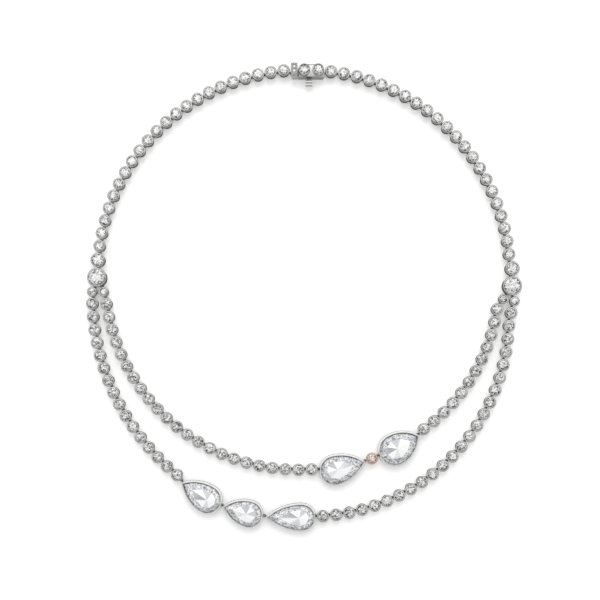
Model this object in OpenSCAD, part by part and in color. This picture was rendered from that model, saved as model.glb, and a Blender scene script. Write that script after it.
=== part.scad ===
// Diamond necklace, lying flat as a whole closed loop, in millimetres.
// A back chain of round collets opens at two junctions into an outer and an inner strand.
// The strands carry five pear settings and one pink round setting.
// +X is the wearer's left in plan, +Y points to the clasp, +Z is up from the surface it lies on.

/* [Round collets] */
// Outside diameter of a regular collet's rim
rim_d = 3.9; // [3.8:0.05:3.95]
// Outside diameter of the first collet of each lower strand
first_rim_d = 3.2; // [3.1:0.05:3.3]
// Outside diameter of the two medium collets
medium_rim_d = 4.66; // [4.5:0.02:4.7]
// Outside diameter of the two junction collets
junction_rim_d = 6.14; // [6:0.02:6.2]
// Outside diameter of the pink stone's collet
pink_rim_d = 3.8; // [3.7:0.05:3.85]
// Height of a regular collet's rim above the surface
rim_h = 3; // [2.8:0.1:3.2]
// Height of the medium collets
medium_rim_h = 3.3; // [3.1:0.1:3.6]
// Height of the junction collets
junction_rim_h = 3.9; // [3.6:0.1:4.2]
// Width of the metal lip round each stone
lip_w = 0.32; // [0.28:0.02:0.36]
// How far the rail under a collet stands in from its rim
rail_inset = 0.3; // [0.3:0.05:0.45]
// How far a collet's waist, where the eyes meet it, stands in from its rim
waist_inset = 0.5; // [0.45:0.05:0.55]

/* [Links] */
// Thickness of the wire of each link eye
wire_d = 0.26; // [0.2:0.02:0.28]
// Radius of an eye, measured to the middle of its wire
eye_r = 0.38; // [0.36:0.01:0.4]
// Height of the eyes above the surface
link_z = 0.64; // [0.62:0.02:0.7]

/* [Pear settings] */
// Height of a pear setting's rim above the surface
pear_rim_h = 3.3; // [3:0.1:3.6]
// Width of a pear setting's rim
pear_lip_w = 0.28; // [0.22:0.02:0.32]
// How far a pear setting's wall leans in from its foot to its rim
pear_lean = 0.3; // [0.2:0.02:0.34]
// Height of a pear stone's point above the surface
pear_peak_h = 4.3; // [4:0.1:4.6]

/* [Clasp] */
// Width of the clasp box across the chain
box_w = 4.2; // [4.1:0.1:4.4]
// Length of the clasp box along the chain
box_l = 8.4; // [8.3:0.05:8.45]
// Height of the clasp box's deck
box_deck_h = 3; // [2.9:0.1:3.2]
// Height of the two collets on the clasp box
box_rim_h = 4.5; // [4.4:0.1:4.8]
// Outside diameter of the two collets on the clasp box
box_rim_d = 3.7; // [3.6:0.05:3.8]
// Distance between the two stones of the clasp box
box_stone_gap = 4.42; // [4.3:0.02:4.5]
// Thickness of the tongue's end plate along the chain
plate_t = 2.1; // [2:0.05:2.15]
// Height of the tongue's end plate
plate_h = 4.4; // [4.2:0.1:4.6]

/* [Hidden] */

// Each row is a stretch of equal collets, evenly spaced along an arc:
// centre x, centre y, radius, angle of the first, angle of the last, how many
ARC_BACK_LEFT = [0.1, 7.2, 66, 95.6, 171.7, 22];
ARC_BACK_RIGHT = [0.1, 7.2, 66, 82.4, 6, 22];
ARC_OUTER_LEFT = [6.8, 1, 74.4, 182.1, 230.6, 16];
ARC_OUTER_RIGHT = [1.9, -5.9, 63.9, 273.9, 357.4, 23];
ARC_INNER_LEFT = [-1.5, 7.4, 62.2, 188.5, 273.8, 23];
ARC_INNER_RIGHT = [5.1, 4.9, 57.4, 305.5, 351.6, 12];

// Each station is: x, y, rim radius
MEDIUM_LEFT = [-65.7, 12.2, medium_rim_d / 2];
MEDIUM_RIGHT = [66.7, 9.5, medium_rim_d / 2];
JUNCTION_LEFT = [-65.9, 6.6, junction_rim_d / 2];
JUNCTION_RIGHT = [66.6, 3.9, junction_rim_d / 2];
FIRST_OUTER_LEFT = [-67.6, 2.1, first_rim_d / 2];
FIRST_INNER_LEFT = [-63.9, 2.1, first_rim_d / 2];
FIRST_INNER_RIGHT = [63.9, -0.2, first_rim_d / 2];
FIRST_OUTER_RIGHT = [67.5, -0.95, first_rim_d / 2];
KNEE_OUTER_RIGHT = [66.4, -4.7, rim_d / 2];
PINK = [21.85, -51.2, pink_rim_d / 2];

// Each row is a pear: tip x, tip y, heading from the tip to the round end, length, width,
// how far the stone's point stands from the middle of the round end towards the tip
PEARS = [
    [-39.1, -58.8, -33.5, 14.9, 9.7, 0],
    [-25.9, -66.55, -16.5, 13.5, 9.2, 1],
    [-12.2, -69.9, -1, 16.3, 9.3, 0.9],
    [19.8, -52.2, 196, 15.3, 10.1, 1],
    [37, -43.7, 211.5, 14.6, 10.8, 1]
];

// Clasp layout: middle of the box, and of the chain's line through it
BOX_X = 2.5;
CLASP_Y = 72.75;
CHAIN_Y = 72.4;

CURVE = 48;
EYE_CURVE = 24;
MARGIN = 1;

rail_h = 0.3;
cup_z = 1.1;
cup_inset = 0.35;
flare_z = 2.6;
lip_bevel = 0.1;
bore_inset = 0.7;
seat_drop = 0.7;
girdle_drop = 0.32;
fast_seat_drop = girdle_drop - 0.02;
crown_h = 0.42;
crown_share = 0.14;
table_share = 0.56;
pavilion_share = 0.86;
stone_play = 0.06;
solder_bite = 0.09;
eye_step = eye_r;
bite = 0.1;
play = 0.1;
stub_bite = 0.2;

pear_foot_inset = 0.5;
pear_bore_inset = 1.1;
pear_wall_z = link_z + eye_r + wire_d / 2 + play;
pear_seat_h = 1.45;
pear_back_z = 1.5;
pear_girdle_z = 2.9;
pear_star_z = 3.75;
pear_star_share = 0.62;

cavity_z = [0.8, 2.55];
cavity_w = 3.2;
box_end_wall = 0.7;
catch_t = 0.3;
mouth_h = 1;
tongue_w = 2.6;
leaf_t = 0.3;
plate_w = 4.15;
plate_gap = 0.2;
foot_cut = 0.45;
foot_cut_h = 1.3;
slot_z = 1.3;
pivot_x = BOX_X + 3;
leaf_z = 1.95;
lever_x = 1.79;
lever_w = 2.15;
arm_w = 1.3;
arm_play = 0.25;
arm_l = 0.9;
ridge_d = 1.06;
ridge_pitch = 0.95;
groove_z = [0.9, 3.2];
groove_h = 0.15;
groove_depth = 0.12;
small_crown_h = 0.2;
small_girdle_drop = 0.1;

plate_x = BOX_X - box_l / 2 - plate_gap - plate_t;

function polar(r, a) = [r * cos(a), r * sin(a)];
function heading(from, to) = atan2(to.y - from.y, to.x - from.x);
function distance(a, b) = norm([b.x - a.x, b.y - a.y]);

// Evenly spaced stations along an arc, all with one rim radius
function arc_stations(row, r = rim_d / 2) = [
    for (i = [0 : row[5] - 1])
        let (at = polar(row[2], row[3] + (row[4] - row[3]) * i / (row[5] - 1)))
        [row[0] + at.x, row[1] + at.y, r]
];

// Where a link meets a station: x, y, radius of the wall at the eyes' height
function anchor(station) = [station.x, station.y, station[2] - waist_inset];

back_left = arc_stations(ARC_BACK_LEFT);
back_right = arc_stations(ARC_BACK_RIGHT);
outer_left = concat([FIRST_OUTER_LEFT], arc_stations(ARC_OUTER_LEFT));
outer_right = concat(arc_stations(ARC_OUTER_RIGHT), [KNEE_OUTER_RIGHT, FIRST_OUTER_RIGHT]);
inner_left = concat([FIRST_INNER_LEFT], arc_stations(ARC_INNER_LEFT));
inner_right = concat(arc_stations(ARC_INNER_RIGHT), [FIRST_INNER_RIGHT]);

// A pear's outline is a half circle and two side arcs that meet it at the widest place
function pear_r(pear) = pear[4] / 2;
function pear_reach(pear) = pear[3] - pear_r(pear);
function pear_side_r(pear) = (pow(pear_reach(pear), 2) + pow(pear_r(pear), 2)) / pear[4];
function pear_drop(pear) = pear_side_r(pear) - pear_r(pear);
function pear_tip_x(pear, inset) = sqrt(pow(pear_side_r(pear) - inset, 2) - pow(pear_drop(pear), 2));

// Middle of a pear's round end, and its tip at the foot, both in plan
function pear_centre(pear) = [pear.x, pear.y] + polar(pear_reach(pear), pear[2]);
function pear_round_anchor(pear) =
    let (at = pear_centre(pear))
    [at.x, at.y, pear_r(pear) - pear_foot_inset];
function pear_tip_anchor(pear) =
    let (at = pear_centre(pear) + polar(pear_tip_x(pear, pear_foot_inset), pear[2] + 180))
    [at.x, at.y, 0];

tongue_anchor = [plate_x + foot_cut, CHAIN_Y, 0];
box_anchor = [BOX_X + box_l / 2 - foot_cut, CHAIN_Y, 0];

// The necklace is centred on its own box in plan
all_stations = concat(back_left, back_right, outer_left, outer_right, inner_left, inner_right,
    [MEDIUM_LEFT, MEDIUM_RIGHT, JUNCTION_LEFT, JUNCTION_RIGHT]);
low_x = min([for (s = all_stations) s.x - s[2]]);
high_x = max([for (s = all_stations) s.x + s[2]]);
low_y = min([for (p = PEARS) pear_centre(p).y - pear_r(p)]);
high_y = CLASP_Y + box_w / 2;
mid_x = (low_x + high_x) / 2;
mid_y = (low_y + high_y) / 2;

module placed() {
    translate([-mid_x, -mid_y, 0])
        children();
}

// Round collet, open at the back: a rail, a waist, and a cup with a lip above its seat
module collet(rim_r, h, seat) {
    rotate_extrude($fn = CURVE)
        polygon([
            [rim_r - bore_inset, 0],
            [rim_r - rail_inset, 0],
            [rim_r - rail_inset, rail_h],
            [rim_r - waist_inset, rail_h],
            [rim_r - waist_inset, cup_z],
            [rim_r - cup_inset, cup_z],
            [rim_r, h - rim_h + flare_z],
            [rim_r, h - lip_bevel],
            [rim_r - lip_bevel, h],
            [rim_r - lip_w, h],
            [rim_r - lip_w, h - seat],
            [rim_r - bore_inset, h - seat]
        ]);
}

// Round brilliant: a table, 24 crown facets and 16 pavilion facets, girdle at height 0
module brilliant(girdle_r) {
    rise = crown_h * (1 - crown_share) + crown_share * girdle_r;
    table = [for (k = [0 : 7]) let (p = polar(girdle_r * table_share, 45 * k)) [p.x, p.y, rise]];
    girdle = [for (k = [0 : 15]) let (p = polar(girdle_r, 22.5 * k)) [p.x, p.y, 0]];
    culet = [[0, 0, -girdle_r * pavilion_share]];
    polyhedron(
        points = concat(table, girdle, culet),
        faces = concat(
            [[7, 6, 5, 4, 3, 2, 1, 0]],
            [for (k = [0 : 7]) [k, (k + 1) % 8, 9 + 2 * k]],
            [for (k = [0 : 7]) [k, 9 + 2 * k, 8 + 2 * k]],
            [for (k = [0 : 7]) [k, 8 + 2 * k, 8 + (2 * k + 15) % 16]],
            [for (k = [0 : 15]) [24, 8 + k, 8 + (k + 1) % 16]]
        )
    );
}

// Half of a link: a wire eye on its own piece, reaching towards the next piece.
// One eye of each pair lies flat and the other stands up through it.
module eye(own, other, upright) {
    to_middle = (distance(own, other) - own[2] - other[2] - eye_step) / 2;
    translate([own.x, own.y, link_z])
        rotate(heading(own, other)) {
            translate([own[2] + to_middle, 0, 0])
                rotate([upright ? 90 : 0, 0, 0])
                    rotate_extrude($fn = EYE_CURVE)
                        translate([eye_r, 0])
                            circle(d = wire_d, $fn = EYE_CURVE);
            if (to_middle > eye_r - bite)
                translate([own[2] - stub_bite, 0, 0])
                    rotate([0, 90, 0])
                        cylinder(d = wire_d, h = to_middle - eye_r + stub_bite, $fn = EYE_CURVE);
        }
}

// One link of a strand: a collet with its stone set fast, and an eye on each side
module strand_link(station, before, after) {
    union() {
        translate([station.x, station.y, 0]) {
            collet(station[2], rim_h, fast_seat_drop);
            translate([0, 0, rim_h - girdle_drop])
                rotate(heading(before, after))
                    brilliant(station[2] - lip_w + solder_bite);
        }
        eye(anchor(station), before, true);
        eye(anchor(station), after, false);
    }
}

// A whole strand, linked to one anchor before it and one after it
module strand(stations, before, after) {
    last = len(stations) - 1;
    color("silver")
        placed()
            for (i = [0 : last])
                strand_link(
                    stations[i],
                    i == 0 ? before : anchor(stations[i - 1]),
                    i == last ? after : anchor(stations[i + 1])
                );
}

// A larger collet that is a piece of its own, with standing and lying eyes towards the given anchors
module setting(station, h, standing, lying) {
    placed() {
        union() {
            translate([station.x, station.y, 0])
                collet(station[2], h, seat_drop);
            for (other = standing)
                eye(anchor(station), other, true);
            for (other = lying)
                eye(anchor(station), other, false);
        }
    }
}

module loose_stone(station, h, turn) {
    placed()
        translate([station.x, station.y, h - girdle_drop])
            rotate(turn)
                brilliant(station[2] - lip_w - stone_play);
}

// Pear-shaped block between two heights, its outline moved in by low at its foot and by high at its top
module pear_block(pear, from_z, to_z, low, high) {
    side_r = pear_side_r(pear);
    h = to_z - from_z;
    translate([0, 0, from_z]) {
        cylinder(r1 = pear_r(pear) - low, r2 = pear_r(pear) - high, h = h, $fn = CURVE);
        intersection() {
            translate([0, -pear_drop(pear), 0])
                cylinder(r1 = side_r - low, r2 = side_r - high, h = h, $fn = 2 * CURVE);
            translate([0, pear_drop(pear), 0])
                cylinder(r1 = side_r - low, r2 = side_r - high, h = h, $fn = 2 * CURVE);
            translate([0, -pear_r(pear), 0])
                cube([pear_reach(pear), pear[4], h]);
        }
    }
}

module pear_placed(pear) {
    at = pear_centre(pear);
    translate([at.x, at.y, 0])
        rotate(pear[2] + 180)
            children();
}

// Pear bezel: a wall that leans in on a narrower foot, open at the back, with a seat inside
module pear_setting(pear, round_side, tip_side, tip_upright) {
    seat_inset = pear_lean + pear_lip_w;
    color("gainsboro")
        placed()
            union() {
                pear_placed(pear)
                    difference() {
                        union() {
                            pear_block(pear, 0, pear_wall_z + bite, pear_foot_inset, pear_foot_inset);
                            pear_block(pear, pear_wall_z, pear_rim_h, 0, pear_lean);
                        }
                        pear_block(pear, -MARGIN, pear_rim_h + MARGIN, pear_bore_inset, pear_bore_inset);
                        pear_block(pear, pear_seat_h, pear_rim_h + MARGIN, seat_inset, seat_inset);
                    }
                eye(pear_round_anchor(pear), round_side, !tip_upright);
                eye(pear_tip_anchor(pear), tip_side, tip_upright);
            }
}

// Sixteen points round a pear: half of them on the round end, four on each side arc, from the tip
function pear_ring(pear, inset) =
    let (
        side_r = pear_side_r(pear) - inset,
        drop = pear_drop(pear),
        tip_x = pear_tip_x(pear, inset),
        tip_angle = atan2(drop, tip_x)
    )
    concat(
        [for (k = [0 : 3]) polar(side_r, tip_angle + (90 - tip_angle) * k / 4) - [0, drop]],
        [for (k = [0 : 8]) polar(pear_r(pear) - inset, 90 + 22.5 * k)],
        [for (k = [3 : -1 : 1]) polar(side_r, -tip_angle - (90 - tip_angle) * k / 4) + [0, drop]]
    );

// A corner of a pear stone's star, between the stone's point and a corner of its girdle
function pear_star(pear, corner) = [
    pear[5] * (1 - pear_star_share) + corner.x * pear_star_share,
    corner.y * pear_star_share,
    pear_star_z
];

// Pear rose cut: flat back, upright girdle, 24 border facets and 8 star facets up to a point
module pear_stone(pear) {
    ring = pear_ring(pear, pear_lean + pear_lip_w + stone_play);
    back = [for (p = ring) [p.x, p.y, pear_back_z]];
    girdle = [for (p = ring) [p.x, p.y, pear_girdle_z]];
    star = [for (k = [0 : 7]) pear_star(pear, ring[2 * k])];
    peak = [[pear[5], 0, pear_peak_h]];
    color("white")
        placed()
            pear_placed(pear)
                polyhedron(
                    points = concat(back, girdle, star, peak),
                    faces = concat(
                        [[for (k = [0 : 15]) k]],
                        [for (k = [0 : 15]) [k, k + 16, 16 + (k + 1) % 16, (k + 1) % 16]],
                        [for (k = [0 : 7]) [32 + k, 17 + 2 * k, 16 + 2 * k]],
                        [for (k = [0 : 7]) [32 + k, 32 + (k + 1) % 8, 17 + 2 * k]],
                        [for (k = [0 : 7]) [32 + (k + 1) % 8, 16 + (2 * k + 2) % 16, 17 + 2 * k]],
                        [for (k = [0 : 7]) [40, 32 + (k + 1) % 8, 32 + k]]
                    )
                );
}

// Plan of the clasp box: round ends behind, square ends in front, about the box's middle
module box_outline() {
    for (side = [-1, 1])
        translate([side * (box_l - box_w) / 2, 0])
            circle(d = box_w, $fn = CURVE);
    translate([(box_w - box_l) / 2, -box_w / 2])
        square([box_l - box_w, box_w]);
    translate([-box_l / 2, -box_w / 2])
        square([box_l, box_w / 2]);
}

// Hollow box that the tongue slides into, with two collets on its deck.
// The catch above its mouth holds the end of the sprung upper leaf.
module clasp_box() {
    slot_w = arm_w + 2 * arm_play;
    color("lightgray")
        placed()
            union() {
                difference() {
                    translate([BOX_X, CLASP_Y, 0])
                        union() {
                            linear_extrude(box_deck_h)
                                box_outline();
                            for (side = [-1, 1])
                                translate([side * box_stone_gap / 2, 0, box_deck_h - bite])
                                    cylinder(d = box_rim_d, h = box_rim_h - box_deck_h + bite, $fn = CURVE);
                        }
                    for (side = [-1, 1])
                        translate([BOX_X + side * box_stone_gap / 2, CLASP_Y, box_rim_h])
                            box_seat();
                    translate([BOX_X - box_l / 2 + catch_t, CLASP_Y - cavity_w / 2, cavity_z[0]])
                        cube([box_l - catch_t - box_end_wall, cavity_w, cavity_z[1] - cavity_z[0]]);
                    translate([BOX_X - box_l / 2 - MARGIN, CLASP_Y - cavity_w / 2, cavity_z[0]])
                        cube([box_l / 2 + MARGIN, cavity_w, mouth_h]);
                    translate([lever_x - slot_w / 2, CLASP_Y - box_w, slot_z])
                        cube([slot_w, box_w, cavity_z[1] - slot_z]);
                    translate([BOX_X + box_l / 2 - foot_cut, CLASP_Y - box_w, -MARGIN])
                        cube([box_l, 2 * box_w, foot_cut_h + MARGIN]);
                }
                eye(box_anchor, anchor(back_right[0]), false);
            }
}

// Room for a stone in a collet of the clasp box, down from the rim
module box_seat() {
    seat_r = box_rim_d / 2 - lip_w;
    rotate_extrude($fn = CURVE)
        polygon([
            [0, -girdle_drop - stone_play - seat_r * pavilion_share],
            [seat_r, -girdle_drop - stone_play],
            [seat_r, MARGIN],
            [0, MARGIN]
        ]);
}

// Tongue: the end plate and the lower leaf, turned up where the upper leaf springs from it
module clasp_tongue() {
    leaf_end = pivot_x + leaf_t / 2;
    color("lightgray")
        placed()
            union() {
                difference() {
                    translate([plate_x, CLASP_Y - plate_w / 2, 0])
                        cube([plate_t, plate_w, plate_h]);
                    translate([plate_x - MARGIN, CLASP_Y - plate_w, -MARGIN])
                        cube([foot_cut + MARGIN, 2 * plate_w, foot_cut_h + MARGIN]);
                    for (z = groove_z)
                        translate([plate_x - MARGIN, CLASP_Y - plate_w / 2 - MARGIN, z])
                            cube([plate_t + 2 * MARGIN, MARGIN + groove_depth, groove_h]);
                    for (stone = TONGUE_STONES)
                        translate([plate_x + plate_t / 2, CLASP_Y + stone[0], plate_h - seat_depth(stone[1])])
                            cylinder(r = stone[1] + stone_play, h = plate_h, $fn = CURVE);
                }
                translate([plate_x + plate_t - bite, CLASP_Y - tongue_w / 2, cavity_z[0] + play])
                    cube([leaf_end - plate_x - plate_t + bite, tongue_w, leaf_t]);
                translate([leaf_end - leaf_t, CLASP_Y - tongue_w / 2, cavity_z[0] + play])
                    cube([leaf_t, tongue_w, leaf_z + leaf_t - cavity_z[0] - play]);
                eye(tongue_anchor, anchor(back_left[0]), false);
            }
}

// Stones of the end plate: distance along the plate from its middle, radius
TONGUE_STONES = [
    [0.92, 0.5],
    [-0.42, 0.5],
    [1.72, 0.22]
];

// Depth of the hole that a small stone of radius r sits in
function seat_depth(r) = small_girdle_drop + r * pavilion_share + stone_play;

module tongue_stones() {
    color("white")
        placed()
            for (stone = TONGUE_STONES)
                translate([plate_x + plate_t / 2, CLASP_Y + stone[0], plate_h - small_girdle_drop])
                    small_stone(stone[1]);
}

// Small cut stone with an eight-sided table, eight upright facets and a flat back
module small_stone(r) {
    table = [for (k = [0 : 7]) concat(polar(r * table_share, 45 * k), small_crown_h)];
    girdle = [for (k = [0 : 7]) let (p = polar(r, 45 * k + 22.5)) [p.x, p.y, 0]];
    culet = [[0, 0, -r * pavilion_share]];
    polyhedron(
        points = concat(table, girdle, culet),
        faces = concat(
            [[7, 6, 5, 4, 3, 2, 1, 0]],
            [for (k = [0 : 7]) [k, (k + 1) % 8, 8 + k]],
            [for (k = [0 : 7]) [k, 8 + k, 8 + (k + 7) % 8]],
            [for (k = [0 : 7]) [16, 8 + k, 8 + (k + 1) % 8]]
        )
    );
}

// Lever: the upper leaf inside the box, an arm through the slot and a thumb pad of two ridges
module clasp_lever() {
    leaf_start = BOX_X - box_l / 2 + catch_t + play;
    leaf_end = pivot_x - leaf_t / 2 - play;
    arm_start = CLASP_Y - box_w / 2 - arm_l;
    color("whitesmoke")
        placed()
            union() {
                translate([leaf_start, CLASP_Y - tongue_w / 2, leaf_z])
                    cube([leaf_end - leaf_start, tongue_w, leaf_t]);
                translate([lever_x - arm_w / 2, arm_start, leaf_z])
                    cube([arm_w, CLASP_Y - arm_start, leaf_t]);
                for (k = [0, 1])
                    translate([lever_x, arm_start - ridge_pitch * (k + 0.5) + bite, leaf_z + leaf_t / 2])
                        rotate([0, 90, 0])
                            cylinder(d = ridge_d, h = lever_w, center = true, $fn = CURVE);
            }
}

module clasp_stone(side) {
    color("white")
        loose_stone([BOX_X + side * box_stone_gap / 2, CLASP_Y, box_rim_d / 2], box_rim_h, 0);
}

module medium_setting_left() {
    color("silver")
        setting(MEDIUM_LEFT, medium_rim_h, [anchor(back_left[21])], [anchor(JUNCTION_LEFT)]);
}

module medium_setting_right() {
    color("silver")
        setting(MEDIUM_RIGHT, medium_rim_h, [anchor(back_right[21])], [anchor(JUNCTION_RIGHT)]);
}

module junction_setting_left() {
    color("silver")
        setting(JUNCTION_LEFT, junction_rim_h,
            [anchor(MEDIUM_LEFT)], [anchor(FIRST_OUTER_LEFT), anchor(FIRST_INNER_LEFT)]);
}

module junction_setting_right() {
    color("silver")
        setting(JUNCTION_RIGHT, junction_rim_h,
            [anchor(MEDIUM_RIGHT), anchor(FIRST_OUTER_RIGHT), anchor(FIRST_INNER_RIGHT)], []);
}

module pink_setting() {
    color("darksalmon")
        setting(PINK, rim_h, [pear_tip_anchor(PEARS[3])], [pear_round_anchor(PEARS[4])]);
}

clasp_box();
clasp_tongue();
clasp_lever();
clasp_stone(-1);  // clasp_stone_left
clasp_stone(1);  // clasp_stone_right
tongue_stones();
strand(back_left, tongue_anchor, anchor(MEDIUM_LEFT));  // back_chain_left
strand(back_right, box_anchor, anchor(MEDIUM_RIGHT));  // back_chain_right
medium_setting_left();
medium_setting_right();
color("white") loose_stone(MEDIUM_LEFT, medium_rim_h, 0);  // medium_stone_left
color("white") loose_stone(MEDIUM_RIGHT, medium_rim_h, 0);  // medium_stone_right
junction_setting_left();
junction_setting_right();
color("white") loose_stone(JUNCTION_LEFT, junction_rim_h, 0);  // junction_stone_left
color("white") loose_stone(JUNCTION_RIGHT, junction_rim_h, 0);  // junction_stone_right
strand(outer_left, anchor(JUNCTION_LEFT), pear_tip_anchor(PEARS[0]));  // outer_strand_left
strand(outer_right, pear_round_anchor(PEARS[2]), anchor(JUNCTION_RIGHT));  // outer_strand_right
strand(inner_left, anchor(JUNCTION_LEFT), pear_round_anchor(PEARS[3]));  // inner_strand_left
strand(inner_right, pear_tip_anchor(PEARS[4]), anchor(JUNCTION_RIGHT));  // inner_strand_right
pear_setting(PEARS[0], pear_tip_anchor(PEARS[1]), anchor(outer_left[16]), true);  // pear_setting_1
pear_setting(PEARS[1], pear_tip_anchor(PEARS[2]), pear_round_anchor(PEARS[0]), true);  // pear_setting_2
pear_setting(PEARS[2], anchor(outer_right[0]), pear_round_anchor(PEARS[1]), true);  // pear_setting_3
pear_setting(PEARS[3], anchor(inner_left[23]), anchor(PINK), false);  // pear_setting_4
pear_setting(PEARS[4], anchor(PINK), anchor(inner_right[0]), false);  // pear_setting_5
pear_stone(PEARS[0]);  // pear_stone_1
pear_stone(PEARS[1]);  // pear_stone_2
pear_stone(PEARS[2]);  // pear_stone_3
pear_stone(PEARS[3]);  // pear_stone_4
pear_stone(PEARS[4]);  // pear_stone_5
pink_setting();
color("pink") loose_stone(PINK, rim_h, 0);  // pink_stone
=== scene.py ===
# %% [markdown]
# # A two-strand diamond necklace
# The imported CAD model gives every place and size. This lesson dresses it: turned collets,
# cut stones, polished gold and a soft studio. Sizes are in millimetres while a piece is being
# modelled at the middle of the scene, and become metres when a copy is put in its place.

# %% Load the frame
import math

import bpy
from mathutils import Matrix, Vector


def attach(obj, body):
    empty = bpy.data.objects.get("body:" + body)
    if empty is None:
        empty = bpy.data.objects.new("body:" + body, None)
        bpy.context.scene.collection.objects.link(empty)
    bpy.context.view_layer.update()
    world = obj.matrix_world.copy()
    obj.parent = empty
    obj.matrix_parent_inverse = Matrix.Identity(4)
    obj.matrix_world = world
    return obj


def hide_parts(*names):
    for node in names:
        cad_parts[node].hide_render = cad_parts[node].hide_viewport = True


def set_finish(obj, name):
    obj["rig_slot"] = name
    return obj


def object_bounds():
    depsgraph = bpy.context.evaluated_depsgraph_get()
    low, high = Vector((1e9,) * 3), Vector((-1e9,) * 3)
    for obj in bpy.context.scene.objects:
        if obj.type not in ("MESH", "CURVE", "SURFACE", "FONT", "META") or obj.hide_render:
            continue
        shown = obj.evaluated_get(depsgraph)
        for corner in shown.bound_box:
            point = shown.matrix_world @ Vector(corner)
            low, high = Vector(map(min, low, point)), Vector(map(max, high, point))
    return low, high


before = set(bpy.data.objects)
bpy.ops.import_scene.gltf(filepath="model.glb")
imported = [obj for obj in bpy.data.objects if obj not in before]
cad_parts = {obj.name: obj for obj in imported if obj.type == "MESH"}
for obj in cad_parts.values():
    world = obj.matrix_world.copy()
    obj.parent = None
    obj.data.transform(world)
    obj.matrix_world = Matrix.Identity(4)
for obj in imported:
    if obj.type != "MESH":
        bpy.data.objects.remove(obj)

MM = 0.001
cad_low, cad_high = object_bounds()
print("CAD box in mm", [round(v / MM, 2) for v in (*cad_low, *cad_high)])

# %% [markdown]
# ## The plan
# The collets lie along six arcs. Each row names a strand and gives its arc's centre, radius,
# first and last angle and number of collets, as the CAD source does. A few collets stand
# outside the arcs, next to the junctions.

# %% Plan of the chain
ARCS = {
    "back_chain_left": (0.1, 7.2, 66, 95.6, 171.7, 22),
    "back_chain_right": (0.1, 7.2, 66, 82.4, 6, 22),
    "outer_strand_left": (6.8, 1, 74.4, 182.1, 230.6, 16),
    "outer_strand_right": (1.9, -5.9, 63.9, 273.9, 357.4, 23),
    "inner_strand_left": (-1.5, 7.4, 62.2, 188.5, 273.8, 23),
    "inner_strand_right": (5.1, 4.9, 57.4, 305.5, 351.6, 12),
}
# Outer radii of the collets, and how high their rims stand above the ground
RIM_R, FIRST_R, MEDIUM_R, JUNCTION_R, PINK_R, CLASP_R = 1.95, 1.6, 2.33, 3.07, 1.9, 1.85
RIM_H, MEDIUM_H, JUNCTION_H, CLASP_H, PEAR_H = 3, 3.3, 3.9, 4.5, 3.3
# How far a waist lies inside its rim
WAIST_INSET = 0.5
MEDIUM_LEFT, MEDIUM_RIGHT = (-65.7, 12.2, MEDIUM_R), (66.7, 9.5, MEDIUM_R)
JUNCTION_LEFT, JUNCTION_RIGHT = (-65.9, 6.6, JUNCTION_R), (66.6, 3.9, JUNCTION_R)
PINK = (21.85, -51.2, PINK_R)
# The clasp: its middle, and how far from there its back, its collets and its end plate stand
CLASP_X, CLASP_Y, CLASP_BACK, CLASP_COLLET_OUT, END_PLATE_OUT = 2.5, 72.75, 2.1, 2.21, 5.45
# Where the back chains end at the clasp: their line, and how far left and right of its middle
CHAIN_Y, TONGUE_OUT, BOX_OUT = 72.4, 6.05, 3.75
# Middle and width of the clasp's lever
LEVER_X, LEVER_W = 1.79, 2.15
# Each pear: tip x, tip y, heading from the tip to the round end, length, width, how far the
# point of the stone stands from the middle of the round end towards the tip, which of its
# eight large facets is the dark one, painted in shade
PEARS = [
    (-39.1, -58.8, -33.5, 14.9, 9.7, 0, 0),
    (-25.9, -66.55, -16.5, 13.5, 9.2, 1, 6),
    (-12.2, -69.9, -1, 16.3, 9.3, 0.9, 7),
    (19.8, -52.2, 196, 15.3, 10.1, 1, 2),
    (37, -43.7, 211.5, 14.6, 10.8, 1, 3),
]
# The middle of the CAD frame, in the plan
middle = Vector((JUNCTION_RIGHT[0] + JUNCTION_R - cad_high.x / MM,
                 CLASP_Y + CLASP_BACK - cad_high.y / MM, 0))


def along_arc(name):
    """Middle and radius of each collet along an arc."""
    x, y, radius, first, last, count = ARCS[name]
    angles = [math.radians(first + (last - first) * i / (count - 1)) for i in range(count)]
    return [(x + radius * math.cos(a), y + radius * math.sin(a), RIM_R) for a in angles]


def anchor(station):
    """Where a link meets a collet: its middle, and the radius of its waist."""
    return station[0], station[1], station[2] - WAIST_INSET


print("middle of the plan", [round(v, 4) for v in middle])

# %% [markdown]
# ## Pear outlines
# A pear's outline is a half circle and two side arcs that meet it at the widest place and
# cross at the tip. The same function gives the outline moved in by any distance, so the
# rim, the seat and the rows of facets all follow it.


# %% Pear outline and where it stands
# How many points of each side, counted from the tip, follow it
TIP_POINTS = 6


def pear_sizes(pear):
    """Radius of the round end, its distance from the tip, and radius of the side arcs."""
    r = pear[4] / 2
    reach = pear[3] - r
    return r, reach, (reach * reach + r * r) / pear[4]


def pear_tip(pear, inset):
    """Distance of the tip from the middle of the round end."""
    r, _, side_r = pear_sizes(pear)
    return math.sqrt((side_r - inset) ** 2 - (side_r - r) ** 2)


def pear_ring(pear, inset, side_points, round_points, at_tip=None):
    """Points of the outline moved in by inset: the tip, one side, the round end, the other side.

    The tip itself may lie at_tip inside instead, and the points next to it blend into that.
    """
    r, _, side_r = pear_sizes(pear)
    drop = side_r - r
    more = 0 if at_tip is None else inset - at_tip
    tip = math.atan2(drop, pear_tip(pear, inset - more))
    upper = []
    for k in range(side_points):
        length = side_r - inset + more * max(0, 1 - k / TIP_POINTS) ** 2
        a = tip + (math.pi / 2 - tip) * k / side_points
        upper.append((length * math.cos(a), length * math.sin(a) - drop))
    turn = [math.pi / 2 + math.pi * k / round_points for k in range(round_points + 1)]
    end = [((r - inset) * math.cos(a), (r - inset) * math.sin(a)) for a in turn]
    return upper + end + [(x, -y) for x, y in reversed(upper[1:])]


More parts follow.
